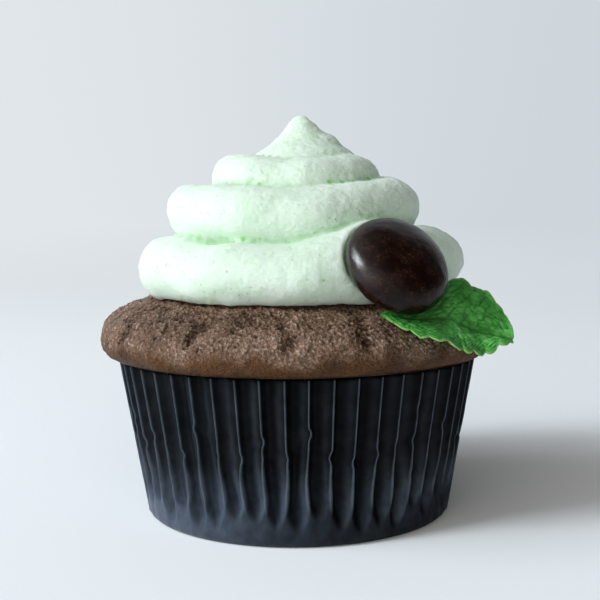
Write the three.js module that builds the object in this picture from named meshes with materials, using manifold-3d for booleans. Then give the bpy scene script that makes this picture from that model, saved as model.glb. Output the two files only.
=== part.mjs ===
// A chocolate cupcake with a piped mint swirl, a chocolate lentil and a mint leaf, in a pleated paper case.
// Millimetres, +Z up. The origin is the centre of the case's flat foot, and the side with the lentil faces -Y.
import * as THREE from "three";
import { mergeVertices } from "three/addons/utils/BufferGeometryUtils.js";
import Module from "manifold-3d";

const wasm = await Module();
wasm.setup();

// Air between pieces that touch on the real cupcake
const gap = 0.3;

// Driving dimensions of the paper case
const footRadius = 24;
const cornerRadius = 1.5;
const caseHeight = 26;
const rimRadius = 29.75;
const paperThickness = 0.5;
const pleatCount = 50;
const pleatDepthAtRim = 1.3;
const pleatDepthAtFoot = 0.9;
const pleatUnevenness = 0.12;

// Driving dimensions of the cake: the crown that stands over the case, its overhanging lip and its lumps
const cakeRadius = 33;
const cakeWidestHeight = 29.4;
const cakeCrownHeight = 38.4;
const lipRadius = 31.1;
const lipHeight = 26.7;
const crustLump = 0.35;

// Driving dimensions of the swirl. Of each ring: the middle radius and height, the rope's half width and
// half height, how much higher it lies on the right than on the left, and how far it is shifted towards +X.
const rings = [
  { radius: 21.9, height: 40.8, halfWidth: 5.25, halfHeight: 5.0, rise: 1.2, shift: 0.7 },
  { radius: 15.8, height: 49.7, halfWidth: 5.2, halfHeight: 4.8, rise: 0.9, shift: -0.2 },
  { radius: 9.4, height: 55.2, halfWidth: 4.8, halfHeight: 4.2, rise: -0.2, shift: 0.1 },
  { radius: 3.4, height: 60.0, halfWidth: 2.6, halfHeight: 2.3, rise: 0.4, shift: 1.7 },
  { radius: 0.8, height: 64.0, halfWidth: 0.9, halfHeight: 0.9, rise: 0, shift: 1.0 },
];
const swirlTipHeight = 66;
const frontSag = 0.7;

// Turns in degrees from +X, rising anticlockwise seen from above: where the rope starts and is full, where
// one ring is counted on to the next, and the share of a ring that lies level
const ropeStart = 50;
const ropeFull = 140;
const ringSeam = 165;
const levelShare = 0.58;
const ropeStep = 15;

// How far the first ring is squeezed up beside the lentil, and where
const squeezeTurn = 303;
const squeezeSpread = 22;
const squeezeRise = 3.2;

// The lentil: where its middle is, its size, and in degrees how its face turns to +X and leans back
const lentilCentre = new THREE.Vector3(14.9, -24, 42.1);
const lentilRadius = 8.1;
const lentilHalfThickness = 4.2;
const lentilTurn = 28.5;
const lentilLean = 36.8;

// The leaf. Of each half: its width, how far towards the tip it is widest, how fast it narrows, and in
// degrees how steeply it rises across, under the lentil and in the open
const leafNearHalf = { width: 8.2, bulge: 1.0, taper: 0.8, stemFold: 12, fold: 19 };
const leafFarHalf = { width: 9.6, bulge: 1.4, taper: 0.68, stemFold: 27, fold: 46 };
const leafThickness = 0.4;
const leafTeeth = 10;
const leafToothDepth = 0.7;
const leafRipple = 0.3;

const degrees = THREE.MathUtils.degToRad;
const mix = THREE.MathUtils.lerp;
const ease = THREE.MathUtils.smoothstep;

// A seeded series of draws between -1 and 1.
function seededDraw(seed) {
  const modulus = 2147483647;
  let state = seed;
  return () => {
    state = (state * 16807) % modulus;
    return (state / modulus) * 2 - 1;
  };
}

// Moves every vertex of a geometry by a function that changes the point it is given.
function reshape(geometry, place) {
  const position = geometry.getAttribute("position");
  const point = new THREE.Vector3();
  for (let i = 0; i < position.count; i += 1) {
    point.fromBufferAttribute(position, i);
    place(point);
    position.setXYZ(i, point.x, point.y, point.z);
  }
  return geometry;
}

// Moves a point away from the upright axis, or towards it.
function pushOut(point, distance) {
  const radius = Math.hypot(point.x, point.y);
  if (radius === 0) return;
  point.x *= 1 + distance / radius;
  point.y *= 1 + distance / radius;
}

// LatheGeometry turns about Y, so this stands its axis up along +Z. The profile runs from foot to crown
// up the outside.
function lathe(profile, segments) {
  const points = profile.map(([radius, height]) => new THREE.Vector2(radius, height));
  return new THREE.LatheGeometry(points, segments).rotateX(Math.PI / 2);
}

function solidFrom(geometry) {
  const bare = geometry.index ? geometry.toNonIndexed() : geometry.clone();
  bare.deleteAttribute("normal");
  bare.deleteAttribute("uv");
  const merged = mergeVertices(bare, 1e-3);
  const mesh = new wasm.Mesh({
    numProp: 3,
    vertProperties: merged.getAttribute("position").array,
    triVerts: new Uint32Array(merged.index.array),
  });
  return new wasm.Manifold(mesh);
}

function geometryFrom(solid) {
  const mesh = solid.getMesh();
  const geometry = new THREE.BufferGeometry();
  geometry.setAttribute("position", new THREE.BufferAttribute(mesh.vertProperties, 3));
  geometry.setIndex(new THREE.BufferAttribute(mesh.triVerts, 1));
  geometry.computeVertexNormals();
  return geometry;
}

// The largest body of a solid, so that a cut leaves no loose scraps.
function largestBody(solid) {
  const bodies = solid.decompose();
  return bodies.reduce((best, body) => (body.volume() > best.volume() ? body : best));
}

// The paper case

const footCorner = footRadius + cornerRadius;
const pleatStart = 3 * cornerRadius;

function wallRadius(height) {
  return mix(footCorner, rimRadius, (height - cornerRadius) / (caseHeight - cornerRadius));
}

function pleatDepth(height) {
  const grown = ease(height, 0.1 * pleatStart, pleatStart);
  return grown * mix(pleatDepthAtFoot, pleatDepthAtRim, height / caseHeight);
}

// A thin cup with a rounded foot, its wall folded in and out by turns, no two folds quite alike.
function makeCase() {
  const wallHeights = [0.15, 0.35, 0.7, 1].map((share) => share * caseHeight);
  const corner = [0, 30, 60, 90].map((turn) => [
    footRadius + cornerRadius * Math.sin(degrees(turn)),
    cornerRadius * (1 - Math.cos(degrees(turn))),
  ]);
  const outside = wallHeights.map((height) => [wallRadius(height), height]);
  const inside = outside.map(([radius, height]) => [radius - paperThickness, height]).reverse();
  const floor = [[footCorner - 2 * paperThickness, 2 * paperThickness], [0, paperThickness]];
  const geometry = lathe([[0, 0], ...corner, ...outside, ...inside, ...floor], 2 * pleatCount);

  const draw = seededDraw(pleatCount);
  const unevenness = Array.from({ length: 2 * pleatCount }, () => draw() * pleatUnevenness);
  return reshape(geometry, (point) => {
    const turn = Math.atan2(point.y, point.x) / Math.PI + 2;
    const fold = Math.round(turn * pleatCount) % (2 * pleatCount);
    const onWall = ease(Math.hypot(point.x, point.y), 0.8 * footRadius, footRadius);
    pushOut(point, -pleatDepth(point.z) * (fold % 2 + unevenness[fold]) * onWall);
  });
}

// The cake

// The crust's lumps round the cake, fading out towards the crown so that the swirl sits level.
function crustRelief(turn, radius) {
  const broad = Math.sin(3 * turn + 0.8) + 0.8 * Math.sin(5 * turn + 2.1);
  const narrow = 0.7 * Math.sin(9 * turn + 0.4) + 0.5 * Math.sin(14 * turn + 1.9);
  return (crustLump / 3) * (broad + narrow) * ease(radius, 0.8 * cakeRadius, 0.93 * cakeRadius);
}

// The crown is a flattened quarter oval, fuller at its shoulder than an ellipse, and a little larger all
// over where it is asked to grow.
function crownProfile(grow) {
  const rise = cakeCrownHeight + grow - cakeWidestHeight;
  const profile = [];
  for (let turn = 90; turn >= 0; turn -= 10) {
    const across = Math.sin(degrees(turn)) ** 0.92;
    const up = Math.cos(degrees(turn)) ** 0.86;
    profile.push([(cakeRadius + grow) * across, cakeWidestHeight + rise * up]);
  }
  return profile;
}

// The lower part of the cake fills the case down to its floor.
function bodyProfile() {
  const clearOfPleats = paperThickness + 1.5 * gap + pleatDepthAtRim * (1 + pleatUnevenness);
  const floorHeight = 2 * paperThickness + gap;
  const insideFoot = wallRadius(pleatStart) - clearOfPleats;
  const insideRim = wallRadius(caseHeight) - clearOfPleats;
  return [
    [0, floorHeight],
    [insideFoot - cornerRadius, floorHeight],
    [insideFoot, pleatStart],
    [insideRim, caseHeight],
    [insideRim, caseHeight + gap],
  ];
}

function makeCake(grow = 0) {
  const lip = [[rimRadius - gap, caseHeight + gap], [lipRadius, lipHeight], [cakeRadius - 0.5, 27.9]];
  const geometry = lathe([...bodyProfile(), ...lip, ...crownProfile(grow)], 64);
  return reshape(geometry, (point) => {
    if (point.z < lipHeight - 0.1) return;
    pushOut(point, crustRelief(Math.atan2(point.y, point.x), Math.hypot(point.x, point.y)));
  });
}

// The swirl

// The rope swells where the lentil was pressed in beside it, on the first ring only.
function squeezeAt(turn) {
  return squeezeRise * Math.exp(-(((turn - squeezeTurn) / squeezeSpread) ** 2));
}

function mixRings(ring, next, share) {
  return Object.fromEntries(Object.keys(ring).map((key) => [key, mix(ring[key], next[key], share)]));
}

// The rope at one turn. Each ring lies almost level from the left round the front, where it sags a little,
// to the right, and climbs to the next ring at the back.
function ropeAt(turn) {
  const along = Math.max(0, (turn - ringSeam) / 360);
  const ring = Math.min(Math.floor(along), rings.length - 2);
  const level = (along - ring) / levelShare;
  const rope = mixRings(rings[ring], rings[ring + 1], ease(along - ring, levelShare, 1));
  rope.height += rope.rise * ease(level, 0.4, 1) * (1 - ease(level, 1, 1 / levelShare));
  rope.height -= frontSag * Math.sin(Math.PI * Math.min(level, 1)) ** 2;
  rope.height += squeezeAt(turn) / 2;
  rope.halfHeight += squeezeAt(turn) / 2;

  // The rope starts thin and low at the back, under its own first climb.
  const full = ease(turn, ropeStart, ropeFull);
  rope.height = mix(cakeCrownHeight - 2, rope.height, full);
  rope.halfHeight *= mix(0.25, 1, full);
  rope.halfWidth *= mix(0.5, 1, full);
  return rope;
}

// A straight rod of unit radius, bent and sized along the rope's rings.
function makeRope() {
  const ropeEnd = ringSeam + 360 * (rings.length - 1);
  const steps = Math.round((ropeEnd - ropeStart) / ropeStep);
  const rod = new THREE.CylinderGeometry(1, 1, 1, 14, steps);
  return reshape(rod, (point) => {
    const turn = mix(ropeStart, ropeEnd, point.y + 0.5);
    const rope = ropeAt(turn);
    const radius = rope.radius + rope.halfWidth * point.x;
    const height = rope.height + rope.halfHeight * point.z;
    point.set(radius * Math.cos(degrees(turn)) + rope.shift, radius * Math.sin(degrees(turn)), height);
  });
}

// What fills the middle of the rope's coils, from inside the cake's crown up to the leaning peak.
function makeSwirlCore() {
  const [first, second, third, fourth] = rings;
  const fill = [first, second, third].map((ring) => [ring.radius - 0.5, ring.height]);
  const foot = [first.radius + 1.5, cakeWidestHeight + 4];
  const flank = [[8.6, 58.9], [7.2, 60.1], [5.2, 61.2], [3.5, 62.9], [1.9, 64.7], [0.9, 65.6]];
  const profile = [[0, foot[1]], foot, ...fill, ...flank, [0, swirlTipHeight]];
  return reshape(lathe(profile, 28), (point) => {
    const lean = ease(point.z, third.height, fourth.height);
    const straighten = ease(point.z, fourth.height, swirlTipHeight + 1);
    point.x += fourth.shift * lean * (1 - straighten);
  });
}

// The rope and its core, hollowed to sit on the cake and to hold the lentil and the leaf.
function makeSwirl() {
  const socket = new THREE.Mesh(makeLentil(gap));
  placeLentil(socket);
  socket.updateMatrix();
  const swirl = solidFrom(makeRope())
    .add(solidFrom(makeSwirlCore()))
    .subtract(solidFrom(makeCake(gap)))
    .subtract(solidFrom(socket.geometry.applyMatrix4(socket.matrix)))
    .subtract(solidFrom(makeLeaf(leafThickness + 2 * gap)));
  return geometryFrom(largestBody(swirl));
}

// The lentil

// An oblate ball with its flat faces along its own Z axis.
function makeLentil(grow = 0) {
  const ball = new THREE.SphereGeometry(1, 28, 14).rotateX(Math.PI / 2);
  return ball.scale(lentilRadius + grow, lentilRadius + grow, lentilHalfThickness + grow);
}

function placeLentil(mesh) {
  mesh.position.copy(lentilCentre);
  mesh.rotation.set(degrees(90 - lentilLean), 0, degrees(lentilTurn), "ZXY");
}

// The leaf

// The midrib starts under the lentil, drapes over the crown's shoulder and levels out at the tip.
const midrib = new THREE.CatmullRomCurve3([
  new THREE.Vector3(12.3, -25.4, 35.2),
  new THREE.Vector3(16.5, -25.3, 34.35),
  new THREE.Vector3(22.2, -23.8, 34.1),
  new THREE.Vector3(26.6, -22.6, 32.1),
  new THREE.Vector3(32.3, -22.0, 30.8),
]);

// The width of half the blade: drawn in at the stem, blunt at the tip, with rounded teeth.
function bladeWidth(along, half) {
  const outline = Math.sin(Math.PI * along ** half.bulge) ** half.taper;
  const teeth = Math.abs(Math.sin(Math.PI * leafTeeth * along));
  return Math.max(leafThickness, half.width * outline - leafToothDepth * (1 - teeth));
}

// A point of the blade at a share along the midrib, and across it from -1, the near edge, to 1, the far edge.
function bladePoint(along, across) {
  const inTheOpen = ease(along, 0.15, 0.45);
  const half = across > 0 ? leafFarHalf : leafNearHalf;
  const fold = degrees(mix(half.stemFold, half.fold, inTheOpen));
  const side = new THREE.Vector3(0.12, Math.cos(fold), Math.sin(fold));
  side.multiplyScalar(Math.sign(across)).addScaledVector(midrib.getTangent(along), 0.25).normalize();
  const wave = Math.sin(2 * Math.PI * (4 * along + 0.3 * across));
  const ripple = leafRipple * Math.abs(across) * inTheOpen * wave;
  return midrib.getPoint(along)
    .addScaledVector(side, Math.abs(across) * bladeWidth(along, half))
    .addScaledVector(new THREE.Vector3(0, -0.4, 0.9), ripple);
}

// The blade as a thin closed sheet, its two faces split into the same triangles.
function makeLeaf(thickness) {
  const lengthSteps = 3 * leafTeeth;
  const widthSteps = 6;
  const row = widthSteps + 1;
  const under = (lengthSteps + 1) * row;
  const upward = new THREE.Vector3(0.2, -0.5, 0.84);
  const corners = [];
  for (const side of [1, -1]) {
    for (let i = 0; i <= lengthSteps; i += 1) {
      for (let j = 0; j <= widthSteps; j += 1) {
        const point = bladePoint(i / lengthSteps, (2 * j) / widthSteps - 1);
        corners.push(...point.addScaledVector(upward, (side * thickness) / 2));
      }
    }
  }

  const faces = [];
  const quad = (a, b, c, d) => faces.push(a, b, c, a, c, d);
  for (let i = 0; i < lengthSteps; i += 1) {
    const near = i * row;
    const far = near + widthSteps;
    for (let a = near; a < far; a += 1) {
      quad(a, a + row, a + row + 1, a + 1);
      quad(under + a + row + 1, under + a + row, under + a, under + a + 1);
    }
    quad(near, under + near, under + near + row, near + row);
    quad(far, far + row, under + far + row, under + far);
  }
  for (let stem = 0; stem < widthSteps; stem += 1) {
    const tip = lengthSteps * row + stem;
    quad(stem, stem + 1, under + stem + 1, under + stem);
    quad(tip, under + tip, under + tip + 1, tip + 1);
  }
  const geometry = new THREE.BufferGeometry();
  geometry.setAttribute("position", new THREE.Float32BufferAttribute(corners, 3));
  geometry.setIndex(faces);
  return geometry;
}

// The whole cupcake

function finish(color, roughness) {
  return new THREE.MeshStandardMaterial({ color, roughness, metalness: 0 });
}

function addPiece(group, name, geometry, material) {
  const mesh = new THREE.Mesh(geometry, material);
  mesh.name = name;
  group.add(mesh);
  return mesh;
}

const cupcake = new THREE.Group();
addPiece(cupcake, "paper_case", makeCase(), finish(0x14171c, 0.55));
addPiece(cupcake, "cake", makeCake(), finish(0x4a3127, 0.85));
addPiece(cupcake, "frosting_swirl", makeSwirl(), finish(0xd8f0dc, 0.6));
placeLentil(addPiece(cupcake, "chocolate_lentil", makeLentil(), finish(0x241512, 0.35)));
addPiece(cupcake, "mint_leaf", makeLeaf(leafThickness), finish(0x2f7d32, 0.5));

export default cupcake;
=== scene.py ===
# %% [markdown]
# A chocolate cupcake in a black pleated paper case, with a swirl of pale green frosting, a chocolate
# lentil and a mint leaf. The CAD part gives every size and place. It is loaded first and never changed:
# each CAD solid is hidden behind a finer piece that keeps its form and adds what the eye looks for, the
# folds, crumb, pits and veins.
# %% Load the frame
import math

import bpy
import numpy as np
from mathutils import Matrix, Vector, noise


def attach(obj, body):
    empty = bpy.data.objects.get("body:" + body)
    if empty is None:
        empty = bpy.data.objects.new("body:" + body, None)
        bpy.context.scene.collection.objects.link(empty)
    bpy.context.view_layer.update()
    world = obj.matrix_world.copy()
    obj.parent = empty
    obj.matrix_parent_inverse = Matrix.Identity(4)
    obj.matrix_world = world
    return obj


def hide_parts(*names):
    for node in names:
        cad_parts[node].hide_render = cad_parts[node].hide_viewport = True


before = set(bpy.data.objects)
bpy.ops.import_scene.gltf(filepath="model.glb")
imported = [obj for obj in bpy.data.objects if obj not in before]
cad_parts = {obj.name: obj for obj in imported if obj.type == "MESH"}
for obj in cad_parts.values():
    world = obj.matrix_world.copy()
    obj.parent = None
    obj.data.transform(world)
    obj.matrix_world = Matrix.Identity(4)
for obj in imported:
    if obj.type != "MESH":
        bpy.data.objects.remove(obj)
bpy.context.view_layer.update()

# %% [markdown]
# Blender works in metres and this cake is a few centimetres high, so every size below is written in
# millimetres and turned into metres where it is used. An operator acts on all that is selected, and loading
# leaves the CAD nodes selected, so a helper first clears the selection and picks one object.
# %% Small helpers for picking and applying
MM = 0.001


def pick(obj=None):
    """Leaves nothing selected but this object, so that an operator changes only what it should."""
    bpy.ops.object.select_all(action="DESELECT")
    if obj:
        obj.select_set(True)
        bpy.context.view_layer.objects.active = obj


def take(name):
    """Names the object that an operator has just added and gives it back."""
    obj = bpy.context.object
    obj.name = name
    obj.data.name = name
    return obj


def edit(obj, kind="VERT"):
    pick(obj)
    bpy.ops.object.mode_set(mode="EDIT")
    bpy.ops.mesh.select_mode(type=kind)


def leave_edit():
    bpy.ops.object.mode_set(mode="OBJECT")


def apply_modifiers(obj):
    pick(obj)
    for modifier in list(obj.modifiers):
        bpy.ops.object.modifier_apply(modifier=modifier.name)


# %% [markdown]
# Some shapes are easier to press than to model face by face: fifty folds in paper, no two alike, or the
# lumps of a crust. A rule is given all the points of a mesh at once, in millimetres, and gives them back
# moved. Blender's own sculpt brushes do the same by hand.
# %% A way to press all points at once
def ease(value, start, end):
    """A smooth step from 0 to 1."""
    share = np.clip((value - start) / (end - start), 0, 1)
    return share * share * (3 - 2 * share)


def points_of(obj):
    flat = np.empty(len(obj.data.vertices) * 3, np.float32)
    obj.data.vertices.foreach_get("co", flat)
    return flat.reshape(-1, 3).astype(float) / MM


def report(obj):
    obj.data.calc_loop_triangles()
    points = points_of(obj)
    low, high = points.min(0).round(2), points.max(0).round(2)
    print(obj.name, len(obj.data.loop_triangles), "triangles, from", low, "to", high, "mm")


def press(obj, rule):
    moved = rule(points_of(obj)) * MM
    obj.data.vertices.foreach_set("co", moved.astype(np.float32).ravel())
    obj.data.update()


def paint(obj, name, values):
    """Keeps one number per point under a name, for the material to read."""
    layer = obj.data.attributes.get(name) or obj.data.attributes.new(name, "FLOAT", "POINT")
    layer.data.foreach_set("value", np.asarray(values, np.float32))


def polar(points):
    return np.arctan2(points[:, 1], points[:, 0]), np.hypot(points[:, 0], points[:, 1])


def push_out(points, distance):
    """Moves points away from the upright axis."""
    moved = points.copy()
    radius = np.maximum(np.hypot(points[:, 0], points[:, 1]), 1e-6)
    moved[:, :2] *= (1 + distance / radius)[:, None]
    return moved


# %% [markdown]
# The materials are built from nodes in the same spirit. One small class wraps the output of a node, so that
# shader maths can be written as plain sums: adding or multiplying two wires adds the Math node that does it.
# Every other node is added by one method, which is told the node's type, its settings and its sockets.
# %% A wire between shader nodes
class Wire:
    """One output socket of a node tree."""

    def __init__(self, tree, socket=None):
        self.tree = tree
        self.socket = socket

    def node(self, kind, settings=None, sockets=None, output=0):
        """Adds a node: its settings first, then the values or wires of its sockets."""
        made = self.tree.nodes.new("ShaderNode" + kind)
        for name, value in (settings or {}).items():
            setattr(made, name, value)
        for name, value in (sockets or {}).items():
            if isinstance(value, Wire):
                self.tree.links.new(value.socket, made.inputs[name])
            elif hasattr(value, "__len__") and made.inputs[name].type == "RGBA":
                made.inputs[name].default_value = (*value, 1)
            else:
                made.inputs[name].default_value = value
        return Wire(self.tree, made.outputs[output])

    def maths(self, operation, *values):
        return self.node("Math", {"operation": operation}, dict(enumerate(values)))

    def __add__(self, other):
        return self.maths("ADD", self, other)

    def __radd__(self, other):
        return self.maths("ADD", other, self)

    def __sub__(self, other):
        return self.maths("SUBTRACT", self, other)

    def __rsub__(self, other):
        return self.maths("SUBTRACT", other, self)

    def __mul__(self, other):
        return self.maths("MULTIPLY", self, other)

    def __rmul__(self, other):
        return self.maths("MULTIPLY", other, self)

    def step(self, start, end):
        """A smooth step from 0 at start to 1 at end."""
        settings = {"interpolation_type": "SMOOTHSTEP"}
        return self.node("MapRange", settings, {"Value": self, "From Min": start, "From Max": end})


# %% [markdown]
# Every finish starts the same way: the place of the point on the object, counted in millimetres so that a
# grain of three per millimetre is simply a scale of 3. Noise and cells then come from that place, and colours
# are mixed by masks.
# %% Shared parts of the finishes
def new_finish(name):
    """An empty material: its surface shader's node, its wire maker, and the place in millimetres."""
    material = bpy.data.materials.new(name)
    material.use_nodes = True
    tree = material.node_tree
    shader = tree.nodes["Principled BSDF"]
    maker = Wire(tree)
    place = maker.node("TexCoord", output=3)
    place = maker.node("VectorMath", {"operation": "SCALE"}, {"Vector": place, "Scale": 1 / MM})
    return material, shader, maker, place


def fog(place, scale, detail=2.0, rough=0.5, stretch=None):
    """Soft noise, scale features to the millimetre."""
    if stretch:
        place = place.node("VectorMath", {"operation": "MULTIPLY"}, {0: place, 1: stretch})
    sockets = {"Vector": place, "Scale": scale, "Detail": detail, "Roughness": rough}
    return place.node("TexNoise", {}, sockets)


def cells(place, scale, feature="F1"):
    """Distance to the nearest cell's middle, or to its edge."""
    return place.node("TexVoronoi", {"feature": feature}, {"Vector": place, "Scale": scale})


def blend(first, second, share):
    """Two colours mixed by a mask."""
    return share.node("Mix", {"data_type": "RGBA"}, {0: share, 6: first, 7: second}, 2)


def painted(maker, name):
    return maker.node("Attribute", {"attribute_name": name}, {}, 2)


def set_plain(shader, **values):
    """Numbers and colours that are the same all over go straight on the shader."""
    for name, value in values.items():
        socket = shader.inputs[name.replace("_", " ")]
        socket.default_value = (*value, 1) if socket.type == "RGBA" else value


def wire_up(shader, **wires):
    for name, wire in wires.items():
        wire.tree.links.new(wire.socket, shader.inputs[name.replace("_", " ")])


def bump(height, strength, depth_mm, below=None):
    sockets = {"Height": height, "Strength": strength, "Distance": depth_mm * MM}
    if below:
        sockets["Normal"] = below
    return height.node("Bump", {}, sockets)


def dress(obj, material, node):
    """Puts a finish on a piece and hands the piece to the frame in place of its CAD node."""
    obj.data.materials.clear()
    obj.data.materials.append(material)
    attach(obj, "root")
    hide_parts(node)
    report(obj)


# %% [markdown]
# The paper case is one sheet pressed into a cup. Its wall is folded in and out fifty times. It could be one
# pleat repeated round a circle, but then all pleats would be alike, so a whole cup is drawn down ring by ring
# from its rim to the middle of its floor, with sixteen columns of faces for each pleat.
# %% The plain cup
PLEATS = 50
COLUMNS = 16
RIM_HEIGHT, RIM_RADIUS = 26.0, 29.75
FOOT_RADIUS, FOOT_CORNER = 24.0, 1.5


def wall_radius(height):
    share = (height - FOOT_CORNER) / (RIM_HEIGHT - FOOT_CORNER)
    return FOOT_RADIUS + FOOT_CORNER + share * (RIM_RADIUS - FOOT_RADIUS - FOOT_CORNER)


wall_rings = [(wall_radius(z), z) for z in np.linspace(RIM_HEIGHT, FOOT_CORNER, 42)]
corner_turns = np.radians(np.linspace(90, 0, 7)[1:])
corner_rings = [
    (FOOT_RADIUS + FOOT_CORNER * math.sin(t), FOOT_CORNER * (1 - math.cos(t))) for t in corner_turns
]
floor_rings = [(r, 0.0) for r in (23.2, 22, 19, 14, 8, 2)]


def draw_rings(rings, columns):
    """A tube drawn ring by ring: each new ring is extruded from the last and scaled to its radius."""
    radius, height = rings[0]
    bpy.ops.mesh.primitive_circle_add(vertices=columns, radius=radius * MM, location=(0, 0, height * MM))
    bpy.ops.object.transform_apply(location=True, rotation=True, scale=True)
    bpy.ops.object.mode_set(mode="EDIT")
    for next_radius, next_height in rings[1:]:
        down = (0, 0, (next_height - height) * MM)
        bpy.ops.mesh.extrude_region_move(TRANSFORM_OT_translate={"value": down})
        share = next_radius / radius
        middle = (0, 0, next_height * MM)
        bpy.ops.transform.resize(value=(share, share, 1), center_override=middle)
        radius, height = next_radius, next_height


pick()
draw_rings(wall_rings + corner_rings + floor_rings, PLEATS * COLUMNS)
bpy.ops.mesh.merge(type="CENTER")
bpy.ops.mesh.select_all(action="SELECT")
bpy.ops.mesh.normals_make_consistent(inside=False)
leave_edit()
case = take("pleated_case")
report(case)

# %% [markdown]
# In the upper half the folds are sharp and straight, because the batter pulled the paper tight. Half way down
# each has a small kink, and below it the flutes wander, grow round and wide, and end like finger tips a few
# millimetres above the foot. Each fold gets its own draw of all that, and what lies between two folds is
# carried along by both. Two masks are painted on for the finish: the sharp edges of the folds, for a painted
# highlight, and on each face the band where the window's light falls, for a painted sheen that also gets a
# real gloss.
# %% Fold the pleats
draw = np.random.default_rng(11)
kink_height = draw.uniform(13.0, 18.5, PLEATS)
kink_side = draw.choice([-1, 1], PLEATS) * draw.uniform(0.15, 0.5, PLEATS)
kink_sink = draw.uniform(0.0, 0.45, PLEATS)
wander_size = draw.uniform(0.08, 0.3, PLEATS)
wander_phase = draw.uniform(0, 2 * np.pi, PLEATS)
wander_length = draw.uniform(11, 19, PLEATS)
flute_end = draw.uniform(3.4, 6.8, PLEATS)
fold_depth = draw.uniform(1.0, 1.35, PLEATS)
fold_lean = draw.uniform(-0.12, 0.12, PLEATS)
fold_skew = draw.uniform(0.2, 0.85, PLEATS)
sheen_band_place = draw.uniform(0.5, 0.74, PLEATS)
sheen_band_share = draw.uniform(0.45, 1.0, PLEATS)
GATHER, PINCH = 0.62, 0.18
KINK_HALF, KINK_SINK_HALF = 0.65, 0.7
LOOSE_BELOW, FIRM_ABOVE = 10, 19
TIP_RISE, HINT_BELOW_TIP = 2.2, 0.1


def between_folds(values, column):
    """A value that belongs to the folds, carried smoothly from one to the next."""
    low = np.floor(column).astype(int) % PLEATS
    share = ease(column - np.floor(column), 0, 1)
    return values[low] * (1 - share) + values[(low + 1) % PLEATS] * share


def fold_shift(column, height):
    """How far sideways the paper has moved, in millimetres."""
    kink = between_folds(kink_side, column)
    kink = kink * np.exp(-(((height - between_folds(kink_height, column)) / KINK_HALF) ** 2))
    phase = between_folds(wander_phase, column)
    swing = np.sin(height * 2 * np.pi / between_folds(wander_length, column) + phase)
    loose = 1 - ease(height, LOOSE_BELOW, FIRM_ABOVE)
    return kink + between_folds(wander_size, column) * swing * loose + between_folds(fold_lean, column)


def gather(turn):
    """The pleat and the share across it, with the columns of faces drawn together at the fold."""
    column = turn / (2 * np.pi) * PLEATS + PLEATS
    return column - GATHER * np.sin(2 * np.pi * column) / (2 * np.pi)


def pinch(column, height):
    """1 on the very edge of a fold, 0 beside it; the edge is sharp above and a rounder bead below."""
    along = column - np.floor(column)
    wide = 0.045 + 0.075 * (1 - ease(height, 7, 15))
    return np.exp(-((np.minimum(along, 1 - along) / wide) ** 2))


def valley_of(column, height):
    """0 on the outer fold and 1 in the valley: the paper drops steeply and climbs slowly to the next fold."""
    along = column - np.floor(column)
    skew = fold_skew[np.floor(column).astype(int) % PLEATS]
    leaning = ease(along, 0, 0.3 - 0.12 * skew) * (1 - ease(along, 0.34 - 0.12 * skew, 0.98))
    round_valley = (0.5 - 0.5 * np.cos(2 * np.pi * along)) ** 0.8
    lean = 0.9 * ease(height, 3, 9)
    return (round_valley * (1 - lean) + leaning * lean) * (1 - PINCH) + (1 - pinch(column, height)) * PINCH


LOW_BAND_PLACE, BAND_HALF, BAND_GROWTH = 0.84, 0.16, 0.07
FOOT_POLISH_AND_SHEEN = 0.25


def polish_and_sheen_of(column, height):
    """Painted sheen where the window's light falls on each face: a band, narrow above, broad and near the fold
    below.

    The side towards the window, towards -X, is painted lighter than the other, as light. The same mask sets the
    paper's real gloss.
    """
    toward_window = ease(-np.cos(column * 2 * np.pi / PLEATS), -0.5, 0.95)
    along = column - np.floor(column)
    face = np.floor(column).astype(int) % PLEATS
    low = 1 - ease(height, 7, 16)
    middle = sheen_band_place[face] + (LOW_BAND_PLACE - sheen_band_place[face]) * low
    band = np.exp(-(((along - middle) / (BAND_HALF + BAND_GROWTH * low)) ** 2))
    share = sheen_band_share[face] * (0.72 + 0.55 * low)
    tip = flute_end[face] + TIP_RISE * (1 - np.sin(np.pi * along))
    in_foot = 1 - ease(height, tip - 2.4, tip - 0.6)
    bands = band * share * (1 - in_foot) + FOOT_POLISH_AND_SHEEN * in_foot
    return bands * (0.6 + 0.9 * toward_window) + (0.36 + 0.3 * low) * toward_window**2


def fold_paper(points):
    turn, radius = polar(points)
    height = points[:, 2]
    column = gather(turn)
    valley = valley_of(column, height)
    depth = between_folds(fold_depth, column) * (1.12 + 0.1 * height / RIM_HEIGHT)
    end = flute_end[np.floor(column).astype(int) % PLEATS] + TIP_RISE * (1 - np.sin(np.pi * (column % 1)))
    grown = ease(height, end - 2.4, end + 0.9)
    hinted = HINT_BELOW_TIP * ease(height, 0.1, 1.2) * ease(radius, 20, 24)
    sink = valley * (depth * grown + hinted * (1 - grown))
    kink = between_folds(kink_sink, column) * (1 - valley)
    sink += kink * np.exp(-(((height - between_folds(kink_height, column)) / KINK_SINK_HALF) ** 2))
    on_wall = ease(radius, 20, 24.5)
    moved = push_out(points, -sink * on_wall)
    slide = fold_shift(column, height) * on_wall * ease(height, 0.2, 2.5) / np.maximum(radius, 1)
    slide += (column - PLEATS) * 2 * np.pi / PLEATS - turn
    cos, sin = np.cos(slide), np.sin(slide)
    x = moved[:, 0] * cos - moved[:, 1] * sin
    moved[:, 1] = moved[:, 0] * sin + moved[:, 1] * cos
    moved[:, 0] = x
    return moved


start = points_of(case)
start_column = gather(polar(start)[0])
paint(case, "crest", pinch(start_column, start[:, 2]) * ease(start[:, 2], 3.5, 8))
paint(case, "polish_and_sheen", polish_and_sheen_of(start_column, start[:, 2]))
press(case, fold_paper)
print("folds", PLEATS, "kinks from", kink_height.min().round(1), "to", kink_height.max().round(1), "mm")

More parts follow.
